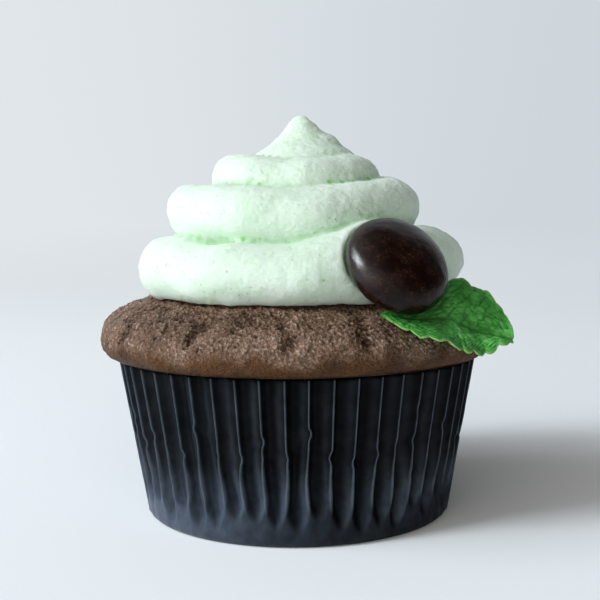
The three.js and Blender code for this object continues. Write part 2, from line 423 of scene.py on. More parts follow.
# %% [markdown]
# Handling leaves small dents and slanting creases in such paper. They are pressed in as short soft strokes at
# places drawn at random. Then the sheet gets its thickness towards the inside, so that its outer face stays
# where it is.
# %% Dent the paper and give it thickness
DENTS = 95
PAPER_THICKNESS = 0.32
dent_turn = draw.uniform(-np.pi, np.pi, DENTS)
dent_height = draw.uniform(3.5, 21, DENTS)
dent_slant = draw.uniform(-1.1, 1.1, DENTS)
dent_long = draw.uniform(0.8, 2.6, DENTS)
dent_wide = draw.uniform(0.25, 0.55, DENTS)
dent_deep = draw.uniform(0.1, 0.38, DENTS)


def dent_paper(points):
    turn, radius = polar(points)
    sink = np.zeros(len(points))
    for i in range(DENTS):
        across = (np.angle(np.exp(1j * (turn - dent_turn[i])))) * wall_radius(dent_height[i])
        up = points[:, 2] - dent_height[i]
        cos, sin = math.cos(dent_slant[i]), math.sin(dent_slant[i])
        along_stroke = (across * sin + up * cos) / dent_long[i]
        across_stroke = (across * cos - up * sin) / dent_wide[i]
        sink += dent_deep[i] * np.exp(-(along_stroke**2) - across_stroke**2)
    return push_out(points, -np.minimum(sink, 0.5) * ease(radius, 21, 24))


press(case, dent_paper)
sheet = case.modifiers.new("thickness", "SOLIDIFY")
sheet.thickness = PAPER_THICKNESS * MM
sheet.offset = -1
apply_modifiers(case)
bpy.ops.object.shade_smooth()
report(case)

# %% [markdown]
# The paper is black and greaseproof. All folds were pressed over to the same side. On each face the band where
# the window's light falls is painted a satin blue-grey as painted sheen, paler and bluer low down, and more on
# the side towards the window, while the rest stays dull and nearly black; a coat gives that band a real gloss.
# Along the folds themselves the black is painted lighter as a painted highlight, and it is rougher from wear.
# Fibres give it a very fine grain and a faint cockle.
# %% Black satin paper
black_paper, shader, maker, place = new_finish("black_satin_paper")
crest = painted(maker, "crest")
cockle = fog(place, 0.45, 3)
fibres = fog(place, 9, 2, 0.6, (1, 1, 0.35))
drawn = fog(place, 1.6, 2, 0.5, (1, 1, 0.14))
# painted highlight: the fold edges are lightened where light catches them; their added roughness is real wear
crest_wear_and_highlight = crest.step(0.2, 0.9) * (0.3 + cockle * 0.9)
# painted sheen: the band of each face where the window's light falls, and the side towards the window,
# lightened; the coat gives it real gloss
polish_and_sheen = painted(maker, "polish_and_sheen") * (0.4 + cockle * 1.2)
foot = place.node("SeparateXYZ", {}, {0: place}, 2).step(14, 4)
ink = blend((0.0018, 0.0022, 0.0027), (0.0048, 0.0058, 0.0072), cockle.step(0.35, 0.7))
# painted sheen colour, paler and bluer towards the foot
painted_sheen_colour = blend((0.0220, 0.0265, 0.0330), (0.062, 0.080, 0.110), foot)
ink = blend(ink, painted_sheen_colour, polish_and_sheen)
wire_up(shader, Base_Color=blend(ink, (0.085, 0.104, 0.128), crest_wear_and_highlight))
wire_up(shader, Roughness=0.36 + fibres * 0.14 + crest_wear_and_highlight * 0.1)
wire_up(shader, Coat_Weight=0.05 + polish_and_sheen * (0.18 + foot * 0.3))
wire_up(shader, Normal=bump(fibres, 0.35, 0.02, bump(drawn, 0.5, 0.12, bump(cockle, 0.8, 0.5))))
set_plain(shader, Specular_IOR_Level=0.012, Coat_Roughness=0.4, Coat_Tint=(0.88, 0.94, 1.0))
dress(case, black_paper, "paper_case")

# %% [markdown]
# The cake fills the case and bulges over its rim as a flattened dome with a rounded lip. A round shape with
# such an outline is best spun: one point is drawn along the outline, then swept round the upright axis. What
# shows gets rows a quarter of a millimetre apart, as its crumb is modelled; what is hidden gets long faces.
# %% Draw the cake's outline and spin it
CAKE_RADIUS, WIDEST_HEIGHT, CROWN_HEIGHT = 33.0, 29.4, 38.4
CAKE_COLUMNS = 960
FINE_ROW = 0.24


def crown_point(turn, grow=0.0):
    across = math.sin(turn) ** 0.92
    up = math.cos(turn) ** 0.86
    return (CAKE_RADIUS + grow) * across, WIDEST_HEIGHT + (CROWN_HEIGHT + grow - WIDEST_HEIGHT) * up


def even_line(points, row):
    """Points a row apart along a smooth line through the given ones."""
    knots = [np.array(p, float) for p in points]
    knots = [2 * knots[0] - knots[1], *knots, 2 * knots[-1] - knots[-2]]
    dense = []
    for a, b, c, d in zip(knots, knots[1:], knots[2:], knots[3:]):
        for t in np.linspace(0, 1, 40, endpoint=False):
            dense.append(0.5 * (2 * b + (c - a) * t + (2 * a - 5 * b + 4 * c - d) * t**2
                                + (3 * b - a - 3 * c + d) * t**3))
    dense = np.array([*dense, knots[-2]])
    walked = np.concatenate([[0], np.cumsum(np.linalg.norm(np.diff(dense, axis=0), axis=1))])
    stops = np.linspace(0, walked[-1], max(2, round(walked[-1] / row)) + 1)
    return [(float(np.interp(s, walked, dense[:, 0])), float(np.interp(s, walked, dense[:, 1]))) for s in stops]


def spin_outline(name, outline, steps):
    """A closed turned shape: its outline runs from the foot's middle to the crown's middle."""
    pick()
    bpy.ops.mesh.primitive_plane_add(size=MM)
    edit(bpy.context.object)
    bpy.ops.mesh.select_all(action="SELECT")
    bpy.ops.mesh.merge(type="CENTER")
    x, z = outline[0]
    bpy.ops.transform.translate(value=(x * MM, 0, z * MM))
    for next_x, next_z in outline[1:]:
        bpy.ops.mesh.extrude_region_move(
            TRANSFORM_OT_translate={"value": ((next_x - x) * MM, 0, (next_z - z) * MM)}
        )
        x, z = next_x, next_z
    bpy.ops.mesh.select_all(action="SELECT")
    bpy.ops.mesh.spin(steps=steps, angle=2 * math.pi, center=(0, 0, 0), axis=(0, 0, 1))
    bpy.ops.mesh.select_all(action="SELECT")
    bpy.ops.mesh.remove_doubles(threshold=0.004 * MM)
    bpy.ops.mesh.normals_make_consistent(inside=False)
    leave_edit()
    return take(name)


cake_body = [(0, 1.3), (12, 1.3), (22, 1.3), (23.6, 4.5), (25.2, 14), (27.3, 26), (27.3, 26.3), (29.3, 26.25)]
lip_line = [(29.3, 26.25), (31.1, 26.7), (32.5, 27.9), (33.0, 29.4), *(
    crown_point(math.radians(t)) for t in (82, 74, 66, 58, 50, 43))]
hidden_crown = [crown_point(math.radians(t)) for t in (36, 28, 20, 12, 5)]
cake_outline = cake_body + even_line(lip_line, FINE_ROW)[1:] + hidden_crown + [(0, CROWN_HEIGHT)]
cake = spin_outline("cake_crumb", cake_outline, CAKE_COLUMNS)
report(cake)

# %% [markdown]
# In the oven the crown sets unevenly. It has broad lumps all round, the same as the CAD cake has, and on its
# shoulder a few upright hollows where the crust sank, each with a puffed edge beside it. The whole crust is
# drawn in a little, which is the room that its grain takes later.
# %% Lumps and upright hollows
CRUST_LUMP, CRUMB_ROOM = 0.35, 0.24
hollow_turn = np.radians([-118, -92.4, -71.5, -146, -38, -8, 24, 51, 83, 118, 149, 176])
hollow_wide = np.array([1.9, 1.1, 1.3, 1.6, 1.5, 1.8, 1.2, 1.7, 1.4, 1.9, 1.2, 1.6])
hollow_deep = np.array([1.0, 0.85, 0.95, 0.7, 0.8, 0.7, 0.8, 0.7, 0.9, 0.75, 0.8, 0.7])


def crust_relief(turn, radius):
    broad = np.sin(3 * turn + 0.8) + 0.8 * np.sin(5 * turn + 2.1)
    narrow = 0.7 * np.sin(9 * turn + 0.4) + 0.5 * np.sin(14 * turn + 1.9)
    return CRUST_LUMP / 3 * (broad + narrow) * ease(radius, 0.8 * CAKE_RADIUS, 0.93 * CAKE_RADIUS)


def raise_crust(points):
    turn, radius = polar(points)
    return np.where(points[:, 2:] < 26.6, points, push_out(points, crust_relief(turn, radius) - CRUMB_ROOM))


def sink_hollows(points):
    turn, radius = polar(points)
    height = points[:, 2]
    shoulder = ease(height, 28.6, 31.5) * (1 - ease(height, 34.5, 36.5))
    sink = np.zeros(len(points))
    for middle, wide, deep in zip(hollow_turn, hollow_wide, hollow_deep):
        sway = 0.5 * np.sin(height * 1.1 + middle * 7)
        across = np.angle(np.exp(1j * (turn - middle))) * CAKE_RADIUS + sway
        sink += deep * np.exp(-((across / wide) ** 2))
        sink -= 0.5 * deep * np.exp(-(((across - 1.9 * wide) / wide) ** 2))
    return push_out(points, -sink * shoulder)


press(cake, raise_crust)
press(cake, sink_hollows)

# %% [markdown]
# The crumb itself is real relief too. Displace modifiers push the fine rows along their normals by Blender's
# own textures: wide clouds for the soft unevenness, small ones for the lumps of crumb, and cells for its
# grains. A vertex group holds them to the crust and makes the band above the paper smoother.
# %% Crumb lumps and grains
def grain(obj, name, kind, size_mm, height_mm, group="", level=0.5, **settings):
    """Displaces a piece by one procedural texture."""
    texture = bpy.data.textures.new(name, kind)
    texture.noise_scale = size_mm * MM
    for setting, value in settings.items():
        setattr(texture, setting, value)
    modifier = obj.modifiers.new(name, "DISPLACE")
    modifier.texture = texture
    modifier.texture_coords = "LOCAL"
    modifier.strength = height_mm * MM
    modifier.mid_level = level
    modifier.vertex_group = group


def weigh(obj, name, weights):
    """A vertex group with a weight for each point, in twenty steps."""
    group = obj.vertex_groups.new(name=name)
    steps = np.round(np.asarray(weights) * 20).astype(int)
    for step in range(1, 21):
        group.add(np.flatnonzero(steps == step).tolist(), step / 20, "REPLACE")


crust = points_of(cake)
crust_turn = polar(crust)[0]
above_paper = ease(crust[:, 2], 26.4, 27.4)
uneven = 0.6 * np.sin(crust_turn * 11) + 0.4 * np.sin(crust_turn * 23) + 0.3 * np.sin(crust_turn * 41 + 1)
upper_band = ease(crust[:, 2] + uneven, 27.9, 31.2)
weigh(cake, "crust", above_paper)
weigh(cake, "crumbly", above_paper * (0.28 + 0.72 * upper_band))
paint(cake, "upper", upper_band)
grain(cake, "soft_lumps", "CLOUDS", 3.0, 0.6, "crust", noise_depth=1)
grain(cake, "crumb_lumps", "CLOUDS", 1.1, 0.55, "crumbly", noise_depth=3)
grain(cake, "crumb_grains", "VORONOI", 0.48, -0.4, "crumbly", noise_intensity=1.2)
apply_modifiers(cake)
bpy.ops.object.shade_smooth()

# %% [markdown]
# How deep a point lies below its neighbours says a lot about a crust or a cream: the finishes paint hollows
# darker, as shade, and high grains paler, as caught light. Blender can bake that; here it is measured from the
# mesh, by comparing each point with the mean of those it is joined to. A few rounds of that find the gaps
# between grains, and eighty find the upright hollows, which are a few millimetres wide.
# %% Measure the hollows of a surface
def measure_hollows(obj, rounds, scale_mm, name="hollow"):
    mesh = obj.data
    edges = np.empty(len(mesh.edges) * 2, np.int32)
    mesh.edges.foreach_get("vertices", edges)
    first, second = edges.reshape(-1, 2).T
    points = points_of(obj)
    normals = np.empty(len(points) * 3, np.float32)
    mesh.vertices.foreach_get("normal", normals)
    normals = normals.reshape(-1, 3)
    joined = np.bincount(first, minlength=len(points)) + np.bincount(second, minlength=len(points))
    joined = np.maximum(joined, 1)
    mean = points.copy()
    for _ in range(rounds):
        total = np.zeros_like(mean)
        for axis in range(3):
            total[:, axis] += np.bincount(first, mean[second, axis], len(points))
            total[:, axis] += np.bincount(second, mean[first, axis], len(points))
        mean = total / joined[:, None]
    depth = np.einsum("ij,ij->i", mean - points, normals) / scale_mm
    paint(obj, name, np.clip(depth, -1, 1))
    print(obj.name, "hollows, share deeper than half the scale:", float((depth > 0.5).mean().round(3)))


measure_hollows(cake, rounds=4, scale_mm=0.14)
measure_hollows(cake, rounds=80, scale_mm=0.3, name="dip")

# %% [markdown]
# Baked chocolate crust is dark brown, drier and paler on the crown. Light and shade are partly painted into it:
# the high grains get a pale, slightly pink painted glint, the gaps between them are painted nearly black as
# shade, the broad dips are painted darker as shade, and what stands proud beside them, with some random pale
# patches, is painted paler as sheen. Just above the paper the crust is smoother, redder and a shade deeper.
# %% Chocolate crust
crumb, shader, maker, place = new_finish("chocolate_crumb")
hollow = painted(maker, "hollow")
dip = painted(maker, "dip")
upper = painted(maker, "upper")
patches = fog(place, 0.2, 3)
specks = fog(place, 2.1, 3, 0.6)
fine = fog(place, 5, 2, 0.6)
grit = cells(place, 2.3)
dry = blend((0.066, 0.028, 0.011), (0.260, 0.150, 0.086), specks.step(0.38, 0.64))
moist = blend((0.060, 0.021, 0.0035), (0.140, 0.054, 0.011), fine.step(0.3, 0.7))
brown = blend(moist, dry, upper * 0.8 + patches * 0.2)
brown = blend(brown, (0.050, 0.021, 0.008), patches.step(0.52, 0.38) * 0.65)
# painted shade: the broad dips and the gaps between the grains are darkened
brown = blend(brown, (0.022, 0.009, 0.004), dip.step(0.05, 0.7) * 0.75)
brown = blend(brown, (0.014, 0.006, 0.003), hollow.step(0.1, 0.75) * 0.85)
# painted sheen: what stands proud, with some random pale patches, is lightened where light catches it
proud = (0 - dip).step(0.0, 0.6)
proud_and_patch_sheen = patches.step(0.45, 0.60) * 0.4 + proud * 0.6
brown = blend(brown, (0.35, 0.225, 0.158), proud_and_patch_sheen * upper * (0.2 + specks * 0.6))
# painted highlight: pale glints on the high grains
grain_glints = proud_and_patch_sheen * specks.step(0.40, 0.62)
brown = blend(brown, (0.60, 0.46, 0.39), (0 - hollow).step(0.15, 0.9) * (upper * 0.97 + 0.03) * grain_glints * 0.9)
wire_up(shader, Base_Color=brown)
wire_up(shader, Roughness=0.60 - upper * 0.2 - specks * 0.2)
grains = bump(fine, 0.5, 0.12, bump(specks, 0.9, 0.7, bump(0.6 - grit, 0.8, 0.25)))
wire_up(shader, Normal=grains)
set_plain(shader, Specular_IOR_Level=0.2)
dress(cake, crumb, "cake")

# %% [markdown]
# The swirl is one rope of frosting, piped in shrinking rings and pulled up to a leaning peak. The rope can be
# a bevelled curve, but its section changes from ring to ring and swells where the lentil was pressed in, so a
# long round rod is bent along the path instead. Its five rings are the CAD swirl's.
# %% The rope's path
# radius, height, half width, half height, rise along the ring, and shift towards +X, of each ring
RINGS = np.array([
    [21.9, 40.8, 5.25, 5.0, 1.2, 0.7],
    [15.8, 49.7, 5.2, 4.8, 0.9, -0.2],
    [9.4, 55.2, 4.8, 4.2, -0.2, 0.1],
    [3.4, 60.0, 2.6, 2.3, 0.4, 1.7],
    [0.8, 64.0, 0.9, 0.9, 0.0, 1.0],
])
RING_SEAM, LEVEL_SHARE, FRONT_SAG = 165.0, 0.58, 0.7
ROPE_START, ROPE_FULL, ROPE_END = 50.0, 140.0, 165.0 + 4 * 360
SQUEEZE_TURN, SQUEEZE_SPREAD, SQUEEZE_RISE = 303.0, 22.0, 3.2
ROPE_CUTS = 420


def rope_at(turn):
    """The rope's radius, height, half width, half height and shift at each turn, in degrees."""
    along = np.maximum(0, (turn - RING_SEAM) / 360)
    ring = np.minimum(np.floor(along).astype(int), len(RINGS) - 2)
    part = along - ring
    share = ease(part, LEVEL_SHARE, 1)[:, None]
    radius, height, wide, tall, rise, shift = (RINGS[ring] * (1 - share) + RINGS[ring + 1] * share).T
    level = part / LEVEL_SHARE
    height = height + rise * ease(level, 0.4, 1) * (1 - ease(level, 1, 1 / LEVEL_SHARE))
    height = height - FRONT_SAG * np.sin(np.pi * np.minimum(level, 1)) ** 2
    squeeze = SQUEEZE_RISE * np.exp(-(((turn - SQUEEZE_TURN) / SQUEEZE_SPREAD) ** 2))
    height = height + squeeze / 2
    tall = tall + squeeze / 2
    full = ease(turn, ROPE_START, ROPE_FULL)
    height = (CROWN_HEIGHT - 2) * (1 - full) + height * full
    return radius, height, wide * (0.5 + 0.5 * full), tall * (0.25 + 0.75 * full), shift


pick()
bpy.ops.mesh.primitive_cylinder_add(vertices=36, radius=MM, depth=2 * MM, end_fill_type="NGON")
rope = take("rope")


def select_edges(obj, wanted):
    """Opens a piece for editing with only the edges selected whose two ends pass the test."""
    edit(obj, "EDGE")
    bpy.ops.mesh.select_all(action="DESELECT")
    leave_edit()
    for edge in obj.data.edges:
        edge.select = bool(wanted(*(obj.data.vertices[i].co for i in edge.vertices)))
    edit(obj, "EDGE")


select_edges(rope, lambda a, b: abs(a.z - b.z) > MM)
bpy.ops.mesh.subdivide_edgering(number_cuts=ROPE_CUTS, interpolation="LINEAR")
leave_edit()
report(rope)


def bend_rope(points):
    turn = ROPE_START + (ROPE_END - ROPE_START) * (points[:, 2] + 1) / 2
    radius, height, wide, tall, shift = rope_at(turn)
    out = radius + wide * points[:, 0]
    angle = np.radians(turn)
    return np.stack([out * np.cos(angle) + shift, out * np.sin(angle), height + tall * points[:, 1]], 1)


press(rope, bend_rope)
edit(rope)
bpy.ops.mesh.select_all(action="SELECT")
bpy.ops.mesh.normals_make_consistent(inside=False)
leave_edit()

# %% [markdown]
# Cream isn't a machined spring: before the coils are joined, soft clouds bend and swell the rope a little, so
# that its edge over the cake runs in slow waves. A turned core then fills the middle of the coils up to the
# peak.
# %% Soften the rope and add the core
grain(rope, "rope_swell", "CLOUDS", 7, 1.1, noise_depth=0)
grain(rope, "rope_ripple", "CLOUDS", 2.6, 0.35, noise_depth=1)
apply_modifiers(rope)

FIRST_SKIN, LAST_SKIN = 0.4, 0.36
core_outline = [(0, 33.4), (23.4, 33.4), (21.4, 40.8), (15.3, 49.7), (8.9, 55.2), (8.6, 58.9), (7.2, 60.1),
                (5.2, 61.2), (3.5, 62.9), (1.9, 64.7), (0.9, 65.6), (0, 65.95)]
core = spin_outline("core", core_outline, 72)


def lean_core(points):
    lean = ease(points[:, 2], 55.2, 60) * (1 - 0.5 * ease(points[:, 2], 60, 67))
    points[:, 0] += 1.7 * lean
    return points


press(core, lean_core)
pick(rope)
core.select_set(True)
bpy.ops.object.join()
swirl = take("frosting_piped")
recast = swirl.modifiers.new("one_skin", "REMESH")
recast.mode = "VOXEL"
recast.voxel_size = FIRST_SKIN * MM
apply_modifiers(swirl)
report(swirl)

# %% [markdown]
# The frosting takes the shape of what it touches. A lentil one size larger and a crown one size larger are
# cut out of it, then the skin is recast once more and smoothed, which rounds the cut edges as cream does.
# %% Cut the seats of the lentil and the cake
LENTIL_MIDDLE = Vector((14.9, -24.0, 42.1))
LENTIL_RADIUS, LENTIL_HALF = 8.1, 4.2
LENTIL_TURN, LENTIL_LEAN = 28.5, 36.8
LENTIL_GAP, CROWN_GAP = 0.32, 0.5


def add_lentil(name, grow, segments, rings):
    """An oblate ball, its flat faces along its own Z axis, turned and leaned into place."""
    pick()
    bpy.ops.mesh.primitive_uv_sphere_add(segments=segments, ring_count=rings, radius=MM)
    lentil = take(name)
    wide, thick = LENTIL_RADIUS + grow, LENTIL_HALF + grow
    lentil.scale = (wide, wide, thick)
    lentil.rotation_euler = (math.radians(90 - LENTIL_LEAN), 0, math.radians(LENTIL_TURN))
    lentil.location = LENTIL_MIDDLE * MM
    bpy.ops.object.transform_apply(location=True, rotation=True, scale=True)
    return lentil


seat = add_lentil("lentil_seat", LENTIL_GAP, 64, 32)
crown = [crown_point(math.radians(t), CROWN_GAP) for t in range(90, 0, -6)]
cutter_outline = [(0, 20), (31, 20), (33.2, 27), *crown, (0, CROWN_HEIGHT + CROWN_GAP)]
crown_cutter = spin_outline("crown_cutter", cutter_outline, 160)
press(crown_cutter, raise_crust)
for cutter in (seat, crown_cutter):
    cut = swirl.modifiers.new("seat", "BOOLEAN")
    cut.operation = "DIFFERENCE"
    cut.solver = "EXACT"
    cut.object = cutter
apply_modifiers(swirl)
recast = swirl.modifiers.new("one_skin", "REMESH")
recast.mode = "VOXEL"
recast.voxel_size = LAST_SKIN * MM
soften = swirl.modifiers.new("soften", "SMOOTH")
soften.factor = 0.5
soften.iterations = 4
apply_modifiers(swirl)
for cutter in (seat, crown_cutter):
    bpy.data.objects.remove(cutter)
report(swirl)

# %% [markdown]
# Up close the frosting has faint ripples from the nozzle and small round pits where air bubbles broke. Both
# are relief. The pits sit in the cells of a seeded noise, of which only a few are used.
# %% Ripples and pits in the frosting
grain(swirl, "faint_ripple", "CLOUDS", 1.4, 0.34, noise_depth=2)
apply_modifiers(swirl)


def prick(points, normals, size, spread, deep, seed):
    """Sinks round pits into a share of the noise's cells: the cells' size and the depth in millimetres."""
    sink = np.zeros(len(points))
    offset = Vector((seed, 2.7 * seed, 0.0))
    for i, point in enumerate(points):
        spot = Vector(point) / size + offset
        distances, seeds = noise.voronoi(spot)
        if noise.cell(seeds[0] * 7.3) > 1 - spread:
            sink[i] = deep * max(0.0, 1 - (distances[0] / 0.34) ** 2)
    return points - normals * sink[:, None]


def normals_of(obj):
    flat = np.empty(len(obj.data.vertices) * 3, np.float32)
    obj.data.vertices.foreach_get("normal", flat)
    return flat.reshape(-1, 3)


PITS = {"size": 1.3, "spread": 0.16, "deep": 0.24, "seed": 3.1}
press(swirl, lambda points: prick(points, normals_of(swirl), **PITS))
bpy.ops.object.shade_smooth()
measure_hollows(swirl, rounds=12, scale_mm=0.35)

# %% [markdown]
# Mint buttercream is nearly white where the light falls and greener in its folds, because light that enters
# it comes out tinted. A little scattering under the surface does some of that, and the folds and pits are also
# painted a deeper green as shade. Specks of undissolved colour sit in some of the creases and pits.
# %% Mint buttercream
cream, shader, maker, place = new_finish("mint_buttercream")
hollow = painted(maker, "hollow")
drift = fog(place, 0.12, 2)
grainy = fog(place, 1.4, 4)
pits = cells(place, 1.4).step(0.24, 0.08) * fog(place, 0.5, 2).step(0.54, 0.62)
specks = cells(place, 0.7).step(0.44, 0.16) * fog(place, 0.3, 1).step(0.45, 0.56)
mint = blend((0.69, 0.83, 0.68), (0.745, 0.86, 0.735), drift.step(0.35, 0.65))
# painted shade: the folds darkened to a deeper green
mint = blend(mint, (0.42, 0.69, 0.39), hollow.step(0.05, 0.9) * 0.75)
mint = blend(mint, (0.28, 0.62, 0.17), specks * (0.14 + hollow.step(-0.05, 0.4)) * 0.85)
# painted shade in the pits
mint = blend(mint, (0.36, 0.58, 0.34), pits * 0.6)
wire_up(shader, Base_Color=mint)
wire_up(shader, Roughness=0.46 + grainy * 0.16)
wire_up(shader, Normal=bump(grainy, 0.8, 0.3, bump(1 - pits, 0.9, 0.25)))
set_plain(
    shader, Subsurface_Weight=0.75, Subsurface_Radius=(0.88, 1.0, 0.84), Subsurface_Scale=2.6 * MM,
    Specular_IOR_Level=0.35,
)
dress(swirl, cream, "frosting_swirl")

# %% [markdown]
# The lentil is a sugar-shell sweet without its shell: dark chocolate, tumbled until it is smooth, pressed
# half way into the frosting. A ball is flattened, leaned and turned into place, and clouds take away its
# perfection.
# %% The chocolate lentil
lentil = add_lentil("chocolate_drop", 0.0, 160, 80)
grain(lentil, "tumbled", "CLOUDS", 3.5, 0.16, noise_depth=1)
grain(lentil, "dimples", "CLOUDS", 0.8, 0.035, noise_depth=1)
apply_modifiers(lentil)
bpy.ops.object.shade_smooth()

# %% [markdown]
# Its polish is satin, with a mottled bloom: tiny paler freckles that break up the window's reflection. One
# place at its upper left, towards the window, is rubbed to a brighter shine. A coat whose weight is a soft
# round spot, seen from the front, gives that.
# %% Polished dark chocolate
chocolate, shader, maker, place = new_finish("dark_chocolate")
bloom = fog(place, 0.55, 4, 0.6)
freckles = fog(place, 3.2, 3, 0.65)
dark = blend((0.0060, 0.0017, 0.0010), (0.017, 0.0056, 0.0034), bloom.step(0.35, 0.7))
dark = blend(dark, (0.090, 0.042, 0.030), freckles.step(0.52, 0.70) * bloom.step(0.42, 0.62) * 0.5)
wire_up(shader, Base_Color=dark)
wire_up(shader, Roughness=0.09 + bloom * 0.14 + freckles * 0.16)
wire_up(shader, Normal=bump(freckles, 0.5, 0.07, bump(bloom, 0.35, 0.3)))
RUBBED_SPOT, RUBBED_EDGE, RUBBED_CORE = (9.3, 0, 43.3), 5.2, 1.6
seen_flat = place.node("VectorMath", {"operation": "MULTIPLY"}, {0: place, 1: (1, 0, 1)})
from_spot = seen_flat.node("VectorMath", {"operation": "DISTANCE"}, {0: seen_flat, 1: RUBBED_SPOT}, 1)
wire_up(shader, Coat_Weight=from_spot.step(RUBBED_EDGE, RUBBED_CORE) * (0.35 + freckles * 0.7))
set_plain(shader, Specular_IOR_Level=0.19, Coat_Roughness=0.24)
dress(lentil, chocolate, "chocolate_lentil")

# %% [markdown]
# The mint leaf is a thin blade with a folded midrib, a scalloped edge and skin that puffs up between its
# veins. It starts as a flat grid, whose columns run along the midrib and whose rows run across it, and the
# grid is laid on the CAD leaf's own lines.
# %% Lines of the leaf
LEAF_ROWS, LEAF_COLUMNS = 190, 120
TEETH, TOOTH_DEPTH, RIPPLE = 9, 1.0, 0.3
MIDRIB = np.array([
    [12.3, -25.4, 35.2], [16.5, -25.3, 34.35], [22.2, -23.8, 34.1], [26.6, -22.6, 32.1], [32.3, -22.0, 30.8]])
# width, where it is widest, how fast it narrows, and the fold in degrees at the stem and in the open
NEAR_HALF = (8.2, 1.0, 0.8, 12, 19)
FAR_HALF = (9.5, 1.4, 0.70, 26, 44.5)


def midrib_at(along):
    """The midrib's points, on the centripetal Catmull-Rom line that the CAD leaf has."""
    ends = [2 * MIDRIB[0] - MIDRIB[1], *MIDRIB, 2 * MIDRIB[-1] - MIDRIB[-2]]
    place = np.clip(along, 0, 1) * (len(MIDRIB) - 1)
    out = np.zeros((len(place), 3))
    for i in range(len(MIDRIB) - 1):
        inside = (place >= i) & ((place < i + 1) | (i == len(MIDRIB) - 2))
        a, b, c, d = ends[i : i + 4]
        first, middle, last = (max(np.linalg.norm(q - p) ** 0.5, 1e-4) for p, q in ((a, b), (b, c), (c, d)))
        leave = ((b - a) / first - (c - a) / (first + middle) + (c - b) / middle) * middle
        arrive = ((c - b) / middle - (d - b) / (middle + last) + (d - c) / last) * middle
        t = (place[inside] - i)[:, None]
        out[inside] = (b + leave * t + (3 * (c - b) - 2 * leave - arrive) * t**2
                       + (2 * (b - c) + leave + arrive) * t**3)
    return out


def blade_width(along, near):
    wide = np.where(near, NEAR_HALF[0], FAR_HALF[0])
    bulge = np.where(near, NEAR_HALF[1], FAR_HALF[1])
    taper = np.where(near, NEAR_HALF[2], FAR_HALF[2])
    outline = np.sin(np.pi * np.clip(along, 0, 1) ** bulge) ** taper
    tooth = (TEETH * along + np.where(near, 0.15, 0.6)) % 1
    notch = (1 - np.sin(np.pi * tooth**0.8)) ** 1.3
    deep = TOOTH_DEPTH * np.where(near, 1.0, 0.3) * ease(along, 0.05, 0.2)
    return np.maximum(0.4, wide * outline - deep * notch)


def blade_point(along, across):
    """A point of the blade at a share along the midrib and from -1, the near edge, to 1, the far edge."""
    near = across < 0
    open_share = ease(along, 0.15, 0.45)
    stem_fold = np.where(near, NEAR_HALF[3], FAR_HALF[3])
    full_fold = np.where(near, NEAR_HALF[4], FAR_HALF[4])
    turn = np.radians(stem_fold + (full_fold - stem_fold) * open_share)
    tangent = midrib_at(along + 1e-3) - midrib_at(along - 1e-3)
    tangent /= np.linalg.norm(tangent, axis=1)[:, None]
    side = np.stack([np.full(len(turn), 0.12), np.cos(turn), np.sin(turn)], 1)
    side = side * np.where(near, -1, 1)[:, None] + 0.25 * tangent
    side /= np.linalg.norm(side, axis=1)[:, None]
    wave = np.sin(2 * np.pi * (4 * along + 0.3 * across))
    ripple = RIPPLE * np.abs(across) * open_share * wave
    point = midrib_at(along) + side * (np.abs(across) * blade_width(along, near))[:, None]
    return point + np.array([0, -0.4, 0.9]) * ripple[:, None]


# %% [markdown]
# Veins leave the midrib in pairs and curve towards the tip, with a net of fine ones between them. The skin
# dips along each vein and puffs between them, more at the middle of a field than near the edge. The noise
# that bends the net starts from a fixed seed, so that the leaf grows the same in every run.
# %% Lay the blade and puff it between its veins
VEIN_STEP, VEIN_SWEEP = 0.118, 0.17
LEAF_THICKNESS, NET_SEED = 0.26, 7
UPWARD = np.array([0.2, -0.5, 0.84])


def vein_relief(along, across, points):
    """How high the skin stands between the veins, in millimetres, and how near each point is to a vein."""
    out = np.abs(across)
    place = (along - VEIN_SWEEP * out**1.15 + np.where(across < 0, 0.02, -0.02)) / VEIN_STEP
    side_vein = np.abs(place - np.round(place)) * VEIN_STEP * 21
    rib = out * blade_width(along, across < 0)
    spread = np.stack([along * 21 / 1.5, across * 9 / 0.85, 0 * along], 1)
    spread[:, :2] += 0.35 * np.array([noise.noise_vector(Vector(p) / 1.6)[:2] for p in points])
    net = np.array([noise.voronoi(Vector(p))[0][:2] for p in spread])
    net = net[:, 1] - net[:, 0]
    near_side, near_net = np.exp(-((side_vein / 0.26) ** 2)), np.exp(-((net / 0.16) ** 2))
    veined = 0.5 * near_side + np.exp(-((rib / 0.3) ** 2)) + 0.7 * near_net
    puff = 0.2 * (1 - np.exp(-((side_vein / 0.4) ** 2))) + 0.3 * (1 - np.exp(-((net / 0.3) ** 2)))
    puff = puff * (1 - np.exp(-((rib / 0.6) ** 2))) * (1 - 0.6 * ease(out, 0.8, 1.0))
    return puff - 0.3, np.clip(veined, 0, 1)


pick()
bpy.ops.mesh.primitive_grid_add(x_subdivisions=LEAF_ROWS, y_subdivisions=LEAF_COLUMNS, size=2 * MM)
leaf = take("mint_leaf_blade")
flat = points_of(leaf)
leaf_along, leaf_across = (flat[:, 0] + 1) / 2, flat[:, 1]
laid = blade_point(leaf_along, leaf_across)
noise.seed_set(NET_SEED)
relief, veins = vein_relief(leaf_along, leaf_across, laid)
press(leaf, lambda points: laid + UPWARD * (relief + 0.05)[:, None])
paint(leaf, "vein", veins)
paint(leaf, "rim", ease(np.abs(leaf_across), 0.93, 1.0))
paint(leaf, "along", leaf_along)
sheet = leaf.modifiers.new("thickness", "SOLIDIFY")
sheet.thickness = LEAF_THICKNESS * MM
sheet.offset = 0
apply_modifiers(leaf)
bpy.ops.object.shade_smooth()

